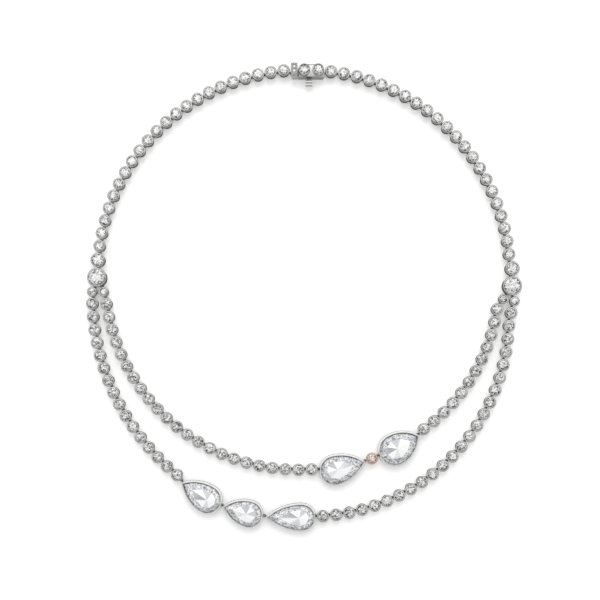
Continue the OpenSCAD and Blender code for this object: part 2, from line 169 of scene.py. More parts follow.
def pear_inset(pear, at):
    """How far a point lies inside the outline."""
    r, _, side_r = pear_sizes(pear)
    if at.x < 0:
        return r - at.xy.length
    return side_r - math.hypot(at.x, abs(at.y) + side_r - r)


def pear_middle(pear):
    """Middle of the round end, in the plan."""
    reach, heading = pear_sizes(pear)[1], math.radians(pear[2])
    return Vector((pear[0] + reach * math.cos(heading), pear[1] + reach * math.sin(heading)))


def pear_tip_anchor(pear):
    """Where a link meets the tip's waist."""
    heading, at, tip = math.radians(pear[2]), pear_middle(pear), pear_tip(pear, WAIST_INSET)
    return at.x - tip * math.cos(heading), at.y - tip * math.sin(heading), 0


def pear_round_anchor(pear):
    """The middle of the round end, and the radius of its waist."""
    return *pear_middle(pear), pear[4] / 2 - WAIST_INSET


print("pear points stand at", [[round(v, 1) for v in pear_middle(p)] for p in PEARS])

# %% [markdown]
# ## The strands
# A strand is its collets in order, and what it is linked to before and after them.

# %% Strands
STRANDS = {name: along_arc(name) for name in ARCS}
STRANDS["outer_strand_left"].insert(0, (-67.6, 2.1, FIRST_R))
STRANDS["outer_strand_right"] += [(66.4, -4.7, RIM_R), (67.5, -0.95, FIRST_R)]
STRANDS["inner_strand_left"].insert(0, (-63.9, 2.1, FIRST_R))
STRANDS["inner_strand_right"].append((63.9, -0.2, FIRST_R))
TONGUE_END, BOX_END = (CLASP_X - TONGUE_OUT, CHAIN_Y, 0), (CLASP_X + BOX_OUT, CHAIN_Y, 0)
ENDS = {
    "back_chain_left": (TONGUE_END, anchor(MEDIUM_LEFT)),
    "back_chain_right": (BOX_END, anchor(MEDIUM_RIGHT)),
    "outer_strand_left": (anchor(JUNCTION_LEFT), pear_tip_anchor(PEARS[0])),
    "outer_strand_right": (pear_round_anchor(PEARS[2]), anchor(JUNCTION_RIGHT)),
    "inner_strand_left": (anchor(JUNCTION_LEFT), pear_round_anchor(PEARS[3])),
    "inner_strand_right": (pear_tip_anchor(PEARS[4]), anchor(JUNCTION_RIGHT)),
}
print("collets", {name: len(row) for name, row in STRANDS.items()})

# %% [markdown]
# ## Helpers for modelling
# Operators act on whatever is selected, so each helper first makes its own piece the only one.
# A closed loop of points starts as a circle whose points are moved, and a wall is a loop that
# is extruded again and again. It could be spun from a profile, but a pear can't be spun, and
# one way for both keeps their rims alike.


# %% Helpers for modelling
# Points closer than MERGE become one, and faces that meet at less than SMOOTH_ANGLE shade as one
MERGE = 0.001
SMOOTH_ANGLE = math.radians(32)


def only(piece):
    """Makes piece the only selected object, and the active one."""
    bpy.ops.object.select_all(action="DESELECT")
    piece.select_set(True)
    bpy.context.view_layer.objects.active = piece


def ring(points):
    """A circle whose points are moved onto the given ones."""
    bpy.ops.object.select_all(action="DESELECT")
    bpy.ops.mesh.primitive_circle_add(vertices=len(points))
    circle = bpy.context.object
    for vertex, point in zip(circle.data.vertices, points):
        vertex.co = point
    return circle


def wall(name, loops):
    """A closed wall through loops of points, each extruded from the one before it."""
    piece = ring(loops[0])
    piece.name = name
    only(piece)
    before = loops[0]
    for loop in loops[1:] + loops[:1]:
        bpy.ops.object.mode_set(mode="EDIT")
        bpy.ops.mesh.extrude_edges_move()
        bpy.ops.object.mode_set(mode="OBJECT")
        moved = [vertex for vertex in piece.data.vertices if vertex.select]
        for vertex in moved:
            gaps = [(vertex.co - Vector(point)).length_squared for point in before]
            vertex.co = loop[gaps.index(min(gaps))]
        before = loop
    bpy.ops.object.mode_set(mode="EDIT")
    bpy.ops.mesh.select_all(action="SELECT")
    bpy.ops.mesh.remove_doubles(threshold=MERGE)
    bpy.ops.mesh.normals_make_consistent(inside=False)
    bpy.ops.object.mode_set(mode="OBJECT")
    bpy.ops.object.shade_smooth_by_angle(angle=SMOOTH_ANGLE)
    return piece


def circle_points(radius, height, count, turn=0.0):
    """Corners of a regular polygon, the first one turned by an angle."""
    angles = [turn + 2 * math.pi * k / count for k in range(count)]
    return [(radius * math.cos(a), radius * math.sin(a), height) for a in angles]


def stone_from(name, rings):
    """A cut stone: the hull round rings of corners, with its flat facets made whole."""
    loops = [ring(points) for points in rings]
    for loop in loops:
        loop.select_set(True)
    bpy.context.view_layer.objects.active = loops[0]
    bpy.ops.object.join()
    piece = bpy.context.object
    piece.name = name
    bpy.ops.object.mode_set(mode="EDIT")
    bpy.ops.mesh.select_all(action="SELECT")
    bpy.ops.mesh.remove_doubles(threshold=MERGE)
    bpy.ops.mesh.convex_hull(join_triangles=False)
    bpy.ops.mesh.select_all(action="SELECT")
    bpy.ops.mesh.dissolve_limited(angle_limit=math.radians(0.4))
    bpy.ops.mesh.select_all(action="SELECT")
    bpy.ops.mesh.normals_make_consistent(inside=False)
    bpy.ops.object.mode_set(mode="OBJECT")
    return piece


def note_polish_and_painted_light(piece, rule):
    """Writes on each point of metal how polished it is, from 0, dull, to 1, bright. Low values also paint
    shade on the metal, and high ones painted light.
    """
    layer = piece.data.attributes.new("polish_and_painted_light", "FLOAT", "POINT")
    for vertex in piece.data.vertices:
        layer.data[vertex.index].value = rule(vertex.co)


def note_facets(piece, tone, mosaic):
    """Writes on each facet how bright it is, and how much of a fine mosaic shows in it."""
    mesh = piece.data
    for key, rule in (("tone", tone), ("mosaic", mosaic)):
        layer = mesh.attributes.new(key, "FLOAT", "FACE")
        for face in mesh.polygons:
            layer.data[face.index].value = rule(face)


print("helpers are ready")

# %% [markdown]
# ## A collet
# A collet is a small metal cup: a rail that it lies on, a narrow waist where the links are
# soldered, a flared cup and a thin lip that is burnished over the stone's edge. The lip slopes
# outwards by twelve degrees, so its far side mirrors the bright wall behind and its near side
# the darker room in front. The wheel rounds its outer edge, and there and inside the lip a dark
# colour is painted as shade, a dark line round each collet, so each point of metal also notes
# how polished it is and where shade is painted.


# %% Model the collets
ROUND_POINTS = 32


def collet(name, rim_r, height):
    """A collet turned from a profile: rail, waist, flared cup, lip, and the seat inside it."""
    profile = [
        (rim_r - 0.7, 0), (rim_r - 0.3, 0), (rim_r - 0.3, 0.3), (rim_r - 0.5, 0.3),
        (rim_r - 0.5, 1.1), (rim_r - 0.35, 1.1), (rim_r, height - 0.4), (rim_r, height - 0.17),
        (rim_r - 0.03, height - 0.1), (rim_r - 0.08, height - 0.065), (rim_r - 0.18, height - 0.042),
        (rim_r - 0.28, height - 0.021), (rim_r - 0.37, height - 0.002), (rim_r - 0.41, height),
        (rim_r - 0.45, height - 0.05), (rim_r - 0.46, height - 0.15), (rim_r - 0.36, height - 0.24),
        (rim_r - 0.36, height - 0.7), (rim_r - 0.7, height - 0.7),
    ]
    piece = wall(name, [circle_points(r, z, ROUND_POINTS) for r, z in profile])

    def polish_and_painted_light(at):
        """All is polished up to the lip, and so is its top. Its outer edge and its inside get the dark
        colour as painted shade.
        """
        inset = rim_r - at.xy.length
        return 1 if inset < 0.01 or at.z < height - 0.35 or 0.1 < inset < 0.42 else 0

    note_polish_and_painted_light(piece, polish_and_painted_light)
    return piece


sources = {
    "regular": collet("regular", RIM_R, RIM_H),
    "first": collet("first", FIRST_R, RIM_H),
    "medium": collet("medium", MEDIUM_R, MEDIUM_H),
    "junction": collet("junction", JUNCTION_R, JUNCTION_H),
    "pink": collet("pink", PINK_R, RIM_H),
}
print("faces of a collet", len(sources["regular"].data.polygons))

# %% [markdown]
# ## A brilliant
# An old-style brilliant has a table, eight star facets, eight kites and sixteen small facets
# above the girdle, and mains and halves below it. Its corners lie on rings, and the hull
# round them is the stone. The corners of a kite are put in one plane. Each facet's tone is a
# painted reflection, and the outer facets are darker, painted shade of the lip. In the back
# chains the tables flash white; in the two strands, seen from behind, the stones show a finer,
# greyer mosaic, so those have tones of their own, painted greyer.


# %% Model the brilliants
def brilliant(name, girdle_r, crown, table, inner, outer, sparkle):
    """A round stone. Its table and its inner and outer facets have tones, painted reflections with the
    outer ones darker as painted shade, and its mosaic a strength.
    """
    depth = 0.86 * girdle_r
    table_r, star_r, low_r = 0.56, 0.8, 0.3
    half = math.pi / 8
    star_z = crown * (1 - star_r * math.cos(half)) / (1 - table_r)
    low_z = -depth * (1 - low_r * math.cos(half))
    piece = stone_from(name, [
        circle_points(table_r * girdle_r, crown, 8),
        circle_points(star_r * girdle_r, star_z, 8, half),
        circle_points(girdle_r, 0, 16),
        circle_points(girdle_r, -0.04, 16),
        circle_points(low_r * girdle_r, low_z, 8, half),
        circle_points(0, -depth, 3),
    ])

    def tone(face):
        """The table and the back have a tone each, and the facets of the crown alternate. All are painted
        reflections.
        """
        step = round(math.atan2(face.normal.y, face.normal.x) / half) % 2
        if face.normal.z > 0.99:
            return table
        if face.normal.z < 0.05:
            return 0.3
        if face.center.xy.length > 0.78 * girdle_r:
            return outer + 0.4 * step
        return inner - 0.4 * step

    note_facets(piece, tone, lambda face: sparkle * (0.6 if face.normal.z > 0.99 else 1))
    return piece


# How far a stone's girdle lies inside its collet's rim, and below it
STONE_INSET, CLASP_STONE_INSET, STONE_SINK = 0.34, 0.38, 0.32
# Facet tones as painted reflections: the outer ones darker as painted shade, the strands' stones painted
# greyer
BRIGHT = {"table": 0.85, "inner": 0.85, "outer": 0.1, "sparkle": 1.7}
GREYER = {"table": 0.62, "inner": 0.8, "outer": 0.25, "sparkle": 2.0}
CALM = {"table": 1, "inner": 1, "outer": 0.35, "sparkle": 0.3}
# Each kind of round stone: the radius of its girdle, and its tones
ROUND_STONES = {
    "regular": (RIM_R - STONE_INSET, BRIGHT),
    "medium": (MEDIUM_R - STONE_INSET, BRIGHT),
    "junction": (JUNCTION_R - STONE_INSET, BRIGHT),
    "pink": (PINK_R - STONE_INSET, BRIGHT),
    "clasp": (CLASP_R - CLASP_STONE_INSET, BRIGHT),
    "low": (RIM_R - STONE_INSET, GREYER),
    "first": (FIRST_R - STONE_INSET, GREYER),
    "small": (0.5, CALM),
    "tiny": (0.22, CALM),
}
for kind, (girdle_r, tones) in ROUND_STONES.items():
    crown = 0.2 if tones == CALM else 0.36 + 0.14 * girdle_r
    sources[kind + "_stone"] = brilliant(kind + "_stone", girdle_r, crown, **tones)
print("facets of a brilliant", len(sources["regular_stone"].data.polygons))

# %% [markdown]
# ## Link eyes
# Two wire eyes join each pair of pieces, one lying flat and one standing through it. One eye
# and one short stub of wire are modelled, and copied along the chain.

# %% Model an eye and its stub
# Radius of an eye and of its wire, height of the links, how far a stub goes into its collet,
# how far an eye has to go in to need no stub, and how polished the wire is
EYE_R, WIRE_R, LINK_Z, STUB_BITE, EYE_BITE, WIRE_SHINE = 0.38, 0.13, 0.64, 0.2, 0.1, 0.15
bpy.ops.object.select_all(action="DESELECT")
bpy.ops.mesh.primitive_torus_add(major_radius=EYE_R, minor_radius=WIRE_R,
                                 major_segments=16, minor_segments=8)
eye = bpy.context.object
bpy.ops.object.shade_smooth()
bpy.ops.object.select_all(action="DESELECT")
bpy.ops.mesh.primitive_cylinder_add(vertices=8, radius=WIRE_R, depth=1, rotation=(0, math.pi / 2, 0),
                                    location=(0.5, 0, 0))
stub = bpy.context.object
bpy.ops.object.transform_apply(location=True, rotation=True)
bpy.ops.object.shade_smooth_by_angle(angle=math.radians(50))
for wire in (eye, stub):
    note_polish_and_painted_light(wire, lambda at: WIRE_SHINE)
sources["eye"], sources["stub"] = eye, stub
print("faces of an eye", len(eye.data.polygons))


# %% [markdown]
# ## Putting copies in place
# A copy gets its own mesh, and its place goes into that mesh, so every finished object sits at
# the origin. Copies of one metal are joined into one piece, which replaces its CAD node.


# %% Copy, place and join
def put(source, x, y, z=0.0, turn=0.0, extra=None):
    """A copy of source at a place of the plan, in mm, and turned, in radians."""
    copy = source.copy()
    copy.data = source.data.copy()
    place = Matrix.Translation((x - middle.x, y - middle.y, z)) @ Matrix.Rotation(turn, 4, "Z")
    copy.data.transform(Matrix.Scale(MM, 4) @ place @ (extra or Matrix.Identity(4)))
    bpy.context.scene.collection.objects.link(copy)
    return copy


def put_eye(own, other, upright):
    """An eye of the piece at own, reaching towards other, and its stub of wire."""
    across = Vector((other[0] - own[0], other[1] - own[1]))
    heading = math.atan2(across.y, across.x)
    to_middle = (across.length - own[2] - other[2] - EYE_R) / 2
    tilt = Matrix.Rotation(math.pi / 2, 4, "X") if upright else Matrix.Identity(4)
    out = Matrix.Translation((own[2] + to_middle, 0, 0))
    made = [put(sources["eye"], own[0], own[1], LINK_Z, heading, out @ tilt)]
    if to_middle > EYE_R - EYE_BITE:
        longer = Matrix.Diagonal((to_middle - EYE_R + STUB_BITE, 1, 1, 1))
        reach = Matrix.Translation((own[2] - STUB_BITE, 0, 0)) @ longer
        made.append(put(sources["stub"], own[0], own[1], LINK_Z, heading, reach))
    return made


def joined(name, parts, slot, *nodes, body="necklace"):
    """Joins parts into one piece that rides on its body and replaces the CAD nodes."""
    bpy.ops.object.select_all(action="DESELECT")
    for part in parts:
        part.select_set(True)
    bpy.context.view_layer.objects.active = parts[0]
    if len(parts) > 1:
        bpy.ops.object.join()
    piece = bpy.context.object
    piece.name = name
    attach(piece, body)
    if nodes:
        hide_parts(*nodes)
    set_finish(piece, slot)
    pieces[name] = piece
    return piece


pieces = {}
print("copies are ready to be made")

# %% [markdown]
# ## The six strands
# Each strand becomes one piece of metal, its collets and eyes, and one of stones. Every stone
# is turned a little differently, as a setter leaves them, so their sparkle isn't in step.

# %% Dress the strands
TURN_PER_STONE = 2.4
for name, row in STRANDS.items():
    before, after = ENDS[name]
    metal, stones = [], []
    for i, (x, y, rim_r) in enumerate(row):
        kind = "first" if rim_r == FIRST_R else "regular"
        gem = "low" if kind == "regular" and "strand" in name else kind
        metal.append(put(sources[kind], x, y))
        stones.append(put(sources[gem + "_stone"], x, y, RIM_H - STONE_SINK, TURN_PER_STONE * i))
        own = anchor(row[i])
        metal += put_eye(own, before if i == 0 else anchor(row[i - 1]), True)
        metal += put_eye(own, after if i == len(row) - 1 else anchor(row[i + 1]), False)
    joined(name + "_collets", metal, "white_gold", name)
    joined(name + "_brilliants", stones, "diamond", name)
    print(name, "metal faces", len(pieces[name + "_collets"].data.polygons))

# %% [markdown]
# ## The larger round stones
# Two medium collets end the back chains, and two junction collets open them into two strands.
# The pink stone has a collet of rose gold.

# %% Dress the larger collets
STONE_TURN = 0.2
first_of = {name: anchor(row[0]) for name, row in STRANDS.items()}
last_of = {name: anchor(row[-1]) for name, row in STRANDS.items()}
# Each row: the place, the kind, the height, what its standing eyes and its lying eyes reach to
SETTINGS = {
    "medium_left": (MEDIUM_LEFT, "medium", MEDIUM_H,
                    [last_of["back_chain_left"]], [anchor(JUNCTION_LEFT)]),
    "medium_right": (MEDIUM_RIGHT, "medium", MEDIUM_H,
                     [last_of["back_chain_right"]], [anchor(JUNCTION_RIGHT)]),
    "junction_left": (JUNCTION_LEFT, "junction", JUNCTION_H, [anchor(MEDIUM_LEFT)],
                      [first_of["outer_strand_left"], first_of["inner_strand_left"]]),
    "junction_right": (JUNCTION_RIGHT, "junction", JUNCTION_H,
                       [anchor(MEDIUM_RIGHT), last_of["outer_strand_right"],
                        last_of["inner_strand_right"]], []),
    "pink": (PINK, "pink", RIM_H, [pear_tip_anchor(PEARS[3])], [pear_round_anchor(PEARS[4])]),
}
for name, (station, kind, height, standing, lying) in SETTINGS.items():
    x, y, rim_r = station
    metal = [put(sources[kind], x, y)]
    for other in standing:
        metal += put_eye(anchor(station), other, True)
    for other in lying:
        metal += put_eye(anchor(station), other, False)
    alloy, gem = ("rose_gold", "pink_diamond") if kind == "pink" else ("white_gold", "diamond")
    label, side = (name.split("_") + [""])[:2]
    end = "_" + side if side else ""
    joined(name + "_collet", metal, alloy, f"{label}_setting{end}")
    stone = put(sources[kind + "_stone"], x, y, height - STONE_SINK, STONE_TURN)
    joined(name + "_brilliant", [stone], gem, f"{label}_stone{end}")
print("larger collets", list(SETTINGS))

# %% [markdown]
# ## Pear bezels
# A pear bezel is a strip of metal bent round the stone: a foot, a polished wall that leans in a
# little, and a rounded lip. Each loop of the wall is the pear's outline moved in by its own
# distance. At the tip the wall hardly leans, so that a solid V of metal guards the stone's
# point, its weakest place.
# Its lower wall and the seat inside the lip are painted dark as shade.


# %% Model the pear bezels
# The wall leans above its foot, is painted dark as shade below the next height and polished above it, and
# gives way to the seat past SEAT_INSET
FOOT_H, PAINTED_SHADE_TOP, SEAT_INSET = 1.3, 2.3, 0.55


def tip_inset(inset, z):
    """The tip leans by a third of what the sides do, and comes back to them across the lip."""
    if z < FOOT_H or inset > SEAT_INSET:
        return None
    return max(0.3 * inset, 1.46 * inset - 0.36)


def pear_bezel(name, pear):
    """A bezel from steps of inset and height: foot, leaning wall, lip, and the seat inside it."""
    steps = [
        (1.1, 0), (0.5, 0), (0.5, 1.25), (0.03, 1.25), (0.01, 1.32), (0.08, 1.95), (0.09, 2.05),
        (0.16, 2.4), (0.25, PEAR_H - 0.3), (0.28, PEAR_H - 0.15), (0.31, PEAR_H - 0.07),
        (0.37, PEAR_H - 0.02), (0.45, PEAR_H), (0.52, PEAR_H - 0.003), (0.6, PEAR_H - 0.03),
        (0.66, PEAR_H - 0.09), (0.68, 3), (0.6, 2.95), (0.6, 1.45), (1.1, 1.45),
    ]
    rings = []
    for inset, z in steps:
        outline = pear_ring(pear, inset, 16, 28, tip_inset(inset, z))
        rings.append([(x, y, z) for x, y in outline])
    piece = wall(name, rings)

    def polish_and_painted_light(at):
        """The upper wall and the lip are polished. The lower wall and the seat are painted dark as shade,
        the foot between.
        """
        if at.z < PAINTED_SHADE_TOP:
            return 0.6 if at.z < FOOT_H - 0.1 else 0.2
        return 0 if pear_inset(pear, at) > 0.64 else 1

    note_polish_and_painted_light(piece, polish_and_painted_light)
    return piece


# What each pear's round end and its tip are linked to, and whether the tip's eye stands
PEAR_LINKS = [
    (pear_tip_anchor(PEARS[1]), anchor(STRANDS["outer_strand_left"][-1]), True),
    (pear_tip_anchor(PEARS[2]), pear_round_anchor(PEARS[0]), True),
    (anchor(STRANDS["outer_strand_right"][0]), pear_round_anchor(PEARS[1]), True),
    (anchor(STRANDS["inner_strand_left"][-1]), anchor(PINK), False),
    (anchor(PINK), anchor(STRANDS["inner_strand_right"][0]), False),
]
for k, (pear, (round_side, tip_side, tip_upright)) in enumerate(zip(PEARS, PEAR_LINKS), 1):
    source = sources[f"pear_{k}"] = pear_bezel(f"pear_{k}", pear)
    at = pear_middle(pear)
    metal = [put(source, at.x, at.y, 0, math.radians(pear[2] + 180))]
    metal += put_eye(pear_round_anchor(pear), round_side, not tip_upright)
    metal += put_eye(pear_tip_anchor(pear), tip_side, tip_upright)
    joined(f"pear_bezel_{k}", metal, "white_gold", f"pear_setting_{k}")
print("faces of a pear bezel", len(sources["pear_1"].data.polygons))

# %% [markdown]
# ## Rose-cut pears
# A rose cut has no table: eight large facets rise to a point, and rows of small ones step down
# round them to the girdle. In real stones the large facets flash white and grey by turns, and
# the small ones make a cool grey mosaic. Here each facet's tone is a painted reflection, and
# the far girdle is painted dark as shade.


# %% Model the rose-cut pears
GIRDLE_INSET, PEAK_H = 0.62, 4.3
# Tones of the eight large facets, painted reflections; the first falls on the dark one, painted shade
STAR_TONES = (0.45, 1.2, 0.75, 1.2, 1.2, 1.1, 0.65, 1.1)


def rose_cut(name, pear):
    """A rose cut from rows of corners, each a share of the girdle and drawn towards the point."""
    girdle = pear_ring(pear, GIRDLE_INSET, 8, 16)
    shift, dark = pear[5:]
    # Towards the front of the photograph, as the stone lies before it is turned
    south = Vector((math.sin(math.radians(pear[2])), math.cos(math.radians(pear[2]))))

    def row(share, height, points):
        return [(x * share + shift * (1 - share), y * share, height) for x, y in points]

    piece = stone_from(name, [
        row(1, 1.5, girdle),
        row(1, 2.9, girdle),
        row(0.94, 3.097, girdle),
        row(0.9, 3.209, girdle),
        row(0.83, 3.37, pear_ring(pear, GIRDLE_INSET, 5, 10)),
        row(0.63, 3.73, pear_ring(pear, GIRDLE_INSET, 2, 4)),
        [(shift, 0, PEAK_H)] * 3,
    ])
    mesh = piece.data

    def top_of(face):
        return max(mesh.vertices[v].co.z for v in face.vertices)

    def is_star(face):
        return top_of(face) > PEAK_H - 0.01

    def tone(face):
        """The large facets have a tone each and the rows below alternate, as painted reflections. The far
        girdle is painted dark as shade.
        """
        away = face.center.xy - Vector((shift, 0))
        step = math.floor(math.atan2(away.y, away.x) / (math.pi / 4)) - dark
        if is_star(face):
            return STAR_TONES[step % 8]
        top = top_of(face)
        if top < 3.15:
            # The row at the girdle on the far side is painted dark as shade
            return 0 if face.center.xy.normalized().dot(south) < -0.4 else 0.35 + 0.25 * (face.index % 2)
        if top < 3.25:
            return 0.5
        return 0.42 + 0.14 * (face.index % 3)

    note_facets(piece, tone, lambda face: 0.05 if is_star(face) else 0.7)
    return piece


for k, pear in enumerate(PEARS, 1):
    source = sources[f"rose_{k}"] = rose_cut(f"rose_{k}", pear)
    at = pear_middle(pear)
    stone = put(source, at.x, at.y, 0, math.radians(pear[2] + 180))
    joined(f"pear_rose_cut_{k}", [stone], "diamond", f"pear_stone_{k}")
print("facets of a rose cut", len(sources["rose_1"].data.polygons))

# %% [markdown]
# ## The clasp
# The clasp's solids already have their shape, so each is copied, its loose triangles are
# merged, and its sharp edges get a small bevel, as a polisher leaves them. A bevel catches the
# light; a sharp edge never does.


# %% Soften the clasp's metal
def softened(node, name, width, body, polish_and_painted_light):
    """A copy of a CAD node with bevelled edges, which rides on its body and replaces the node."""
    piece = bpy.data.objects.new(name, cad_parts[node].data.copy())
    bpy.context.scene.collection.objects.link(piece)
    piece.data.transform(Matrix.Scale(1 / MM, 4))
    only(piece)
    bpy.ops.mesh.customdata_custom_splitnormals_clear()
    bpy.ops.object.mode_set(mode="EDIT")
    bpy.ops.mesh.select_all(action="SELECT")
    bpy.ops.mesh.remove_doubles(threshold=MERGE)
    bpy.ops.mesh.dissolve_limited(angle_limit=math.radians(1))
    bpy.ops.object.mode_set(mode="OBJECT")
    bevel = piece.modifiers.new("edges", "BEVEL")
    bevel.width, bevel.segments, bevel.angle_limit = width, 2, math.radians(40)
    bpy.ops.object.modifier_apply(modifier="edges")
    bpy.ops.object.shade_smooth_by_angle(angle=SMOOTH_ANGLE)
    piece.data.transform(Matrix.Scale(MM, 4))
    note_polish_and_painted_light(piece, lambda at: polish_and_painted_light(at / MM + middle))
    return joined(name, [piece], "white_gold", node, body=body)


# The heights between which the deck lies, and half the width of its part painted bright as light
DECK_LOW, DECK_HIGH, DECK_HALF_W = 2.8, 3.2, 1.4
# Where the end plate's top edge, painted dark as shade, begins and ends, and its stones' girdles lie
PLATE_EDGE_H, PLATE_TOP_H, PLATE_GIRDLE_H = 4.3, 4.395, 4.3
# The lever: its arm lies below this, its groove ends at this, and its bars are painted bright as
# highlights this much higher
ARM_TOP_H, GROOVE_H, BAR_RISE = 2.28, 2.38, 0.1


def case_painted_light_and_shade(at):
    """The deck is painted bright as light between its two collets, whose edges are painted dark as shade,
    the rest half dull.
    """
    if at.z > DECK_HIGH:
        away = math.hypot(abs(at.x - CLASP_X) - CLASP_COLLET_OUT, at.y - CLASP_Y)
        return 1 if away < CLASP_R - 0.1 and at.z > CLASP_H - 0.1 else 0.25
    return 1 if at.z > DECK_LOW and abs(at.x - CLASP_X) < DECK_HALF_W else 0.45


def plate_painted_shade(at):
    """The end plate's walls are the brightest, its top edge the darkest and its top between, both painted
    as shade.
    """
    if at.z < PLATE_EDGE_H:
        return 0.65
    return 0.25 if at.z < PLATE_TOP_H else 0.35


def press_painted_light_and_shade(at):
    """The lever's two bars are painted bright on top as highlights. Their ends, their groove and the arm
    are painted dark as shade.
    """
    if abs(at.x - LEVER_X) > LEVER_W / 2 - 0.005:
        return 0.15
    return 0.25 if at.z < ARM_TOP_H else min(1, max(0, (at.z - GROOVE_H) / BAR_RISE))


softened("clasp_box", "clasp_case", 0.08, "necklace", case_painted_light_and_shade)
softened("clasp_tongue", "clasp_end_plate", 0.06, "necklace", plate_painted_shade)
softened("clasp_lever", "clasp_press", 0.1, "lever", press_painted_light_and_shade)
for side, x in (("left", CLASP_X - CLASP_COLLET_OUT), ("right", CLASP_X + CLASP_COLLET_OUT)):
    stone = put(sources["clasp_stone"], x, CLASP_Y, CLASP_H - STONE_SINK, STONE_TURN)
    joined(f"clasp_brilliant_{side}", [stone], "diamond", f"clasp_stone_{side}")
PLATE_STONES = (("small_stone", 0.92), ("small_stone", -0.42), ("tiny_stone", 1.72))
stones = [put(sources[kind], CLASP_X - END_PLATE_OUT, CLASP_Y + y, PLATE_GIRDLE_H)
          for kind, y in PLATE_STONES]
joined("end_plate_brilliants", stones, "diamond", "tongue_stones")
print("clasp pieces", [n for n in pieces if n.startswith("clasp")])

# %% [markdown]
# ## Polished gold
# Polished metal has hardly a colour of its own: it shows the room. White gold is a little
# warm and grey. Fine polishing marks make its gloss uneven, in patches of a millimetre and
# less. A dark colour is painted as shade on the outer edges of the lips and bezels and in the
# hollows, the links are dull, and the clasp's deck and the lever's bars are painted bright.
# The collets, the pear bezels and the clasp get darker and lighter copies of the one white gold,
# which paints shade on the collets and light on the bezels and the clasp.


# %% Gold
# Patches in a metre, how many finer layers they have, and the depth of the marks in metres
POLISH_SCALE, POLISH_DETAIL, MARKS_DEPTH = 900, 3, 0.00002


def new_material(name):
    """A new material, its nodes and links, and its shader."""
    material = bpy.data.materials.new(name)
    material.use_nodes = True
    nodes, links = material.node_tree.nodes, material.node_tree.links
    return material, nodes, links, nodes["Principled BSDF"]


def mottled(nodes, links, low, high):
    """A soft pattern in the piece's own space, from colour low to colour high."""
    where = nodes.new("ShaderNodeTexCoord")
    noise = nodes.new("ShaderNodeTexNoise")
    noise.inputs["Scale"].default_value = POLISH_SCALE
    noise.inputs["Detail"].default_value = POLISH_DETAIL
    ramp = nodes.new("ShaderNodeValToRGB")
    ramp.color_ramp.elements[0].position, ramp.color_ramp.elements[1].position = 0.3, 0.7
    ramp.color_ramp.elements[0].color, ramp.color_ramp.elements[1].color = (*low, 1), (*high, 1)
    links.new(where.outputs["Object"], noise.inputs["Vector"])
    links.new(noise.outputs["Fac"], ramp.inputs["Fac"])
    return noise, ramp


def gold(name, light, dark, dull_and_painted_shade, edge, smooth, rough):
    """Metal that goes from dull to a mottle of dark and light, by how polished each point is. The dull
    colour also paints shade.
    """
    material, nodes, links, shader = new_material(name)
    shader.inputs["Metallic"].default_value = 1
    shader.inputs["Specular Tint"].default_value = (edge, edge, edge, 1)
    noise, ramp = mottled(nodes, links, dark, light)
    polish_and_painted_light = nodes.new("ShaderNodeAttribute")
    polish_and_painted_light.attribute_name = "polish_and_painted_light"
    # Where the attribute is low, the dull colour paints shade
    blend = nodes.new("ShaderNodeMix")
    blend.data_type = "RGBA"
    blend.inputs["A"].default_value = (*dull_and_painted_shade, 1)
    links.new(polish_and_painted_light.outputs["Fac"], blend.inputs["Factor"])
    links.new(ramp.outputs["Color"], blend.inputs["B"])
    links.new(blend.outputs["Result"], shader.inputs["Base Color"])
    gloss = nodes.new("ShaderNodeMapRange")
    gloss.inputs["To Min"].default_value, gloss.inputs["To Max"].default_value = smooth, rough
    links.new(noise.outputs["Fac"], gloss.inputs["Value"])
    links.new(gloss.outputs["Result"], shader.inputs["Roughness"])
    marks = nodes.new("ShaderNodeBump")
    marks.inputs["Strength"].default_value = 0.15
    marks.inputs["Distance"].default_value = MARKS_DEPTH
    links.new(noise.outputs["Fac"], marks.inputs["Height"])
    links.new(marks.outputs["Normal"], shader.inputs["Normal"])
    return material


# Each metal: its light, dark and dull colours, the dull one also painted shade, the tint at its edge, its
# least and most roughness
# One white gold in three copies: the collets' darker, with a dark edge tint, as painted shade, the pear
# bezels' and the clasp's lighter, as painted light
collet_gold = gold("turned white gold", (0.78, 0.77, 0.75), (0.66, 0.65, 0.63),
                   (0.08, 0.08, 0.077), 0.1, 0.07, 0.18)
white_gold = gold("polished white gold", (0.94, 0.93, 0.91), (0.82, 0.81, 0.79),
                  (0.04, 0.04, 0.04), 1, 0.05, 0.15)
rose_gold = gold("polished rose gold", (0.86, 0.64, 0.53), (0.76, 0.53, 0.43),
                 (0.3, 0.17, 0.12), 0.3, 0.1, 0.24)
satin_gold = gold("satin white gold", (0.97, 0.96, 0.93), (0.88, 0.87, 0.84),
                  (0.15, 0.15, 0.145), 0.5, 0.26, 0.36)
print("metals", collet_gold.name, white_gold.name, rose_gold.name, satin_gold.name)

# %% [markdown]
# ## Diamond
# A real diamond is clear, but what shows is the room, broken up by its facets. Clear glass in
# a small cup renders dark and noisy, so each facet carries its own brightness, a painted
# reflection, and a mosaic of cells, under half a millimetre wide, stands for the facets that
# shine through from below, painted too.


# %% Diamond
# Cells and clouds in a metre, and how much brighter a cloud is than the gap between two
CELL_SCALE, CLOUD_SCALE, CLOUD_STRENGTH = 2500, 350, 0.5


def worked_out(nodes, links, operation, first, second):
    """The value of a Math node that works on a socket and on a second socket or a number."""
    node = nodes.new("ShaderNodeMath")
    node.operation = operation
    links.new(first, node.inputs[0])
    if isinstance(second, float):
        node.inputs[1].default_value = second
    else:
        links.new(second, node.inputs[1])
    return node.outputs["Value"]


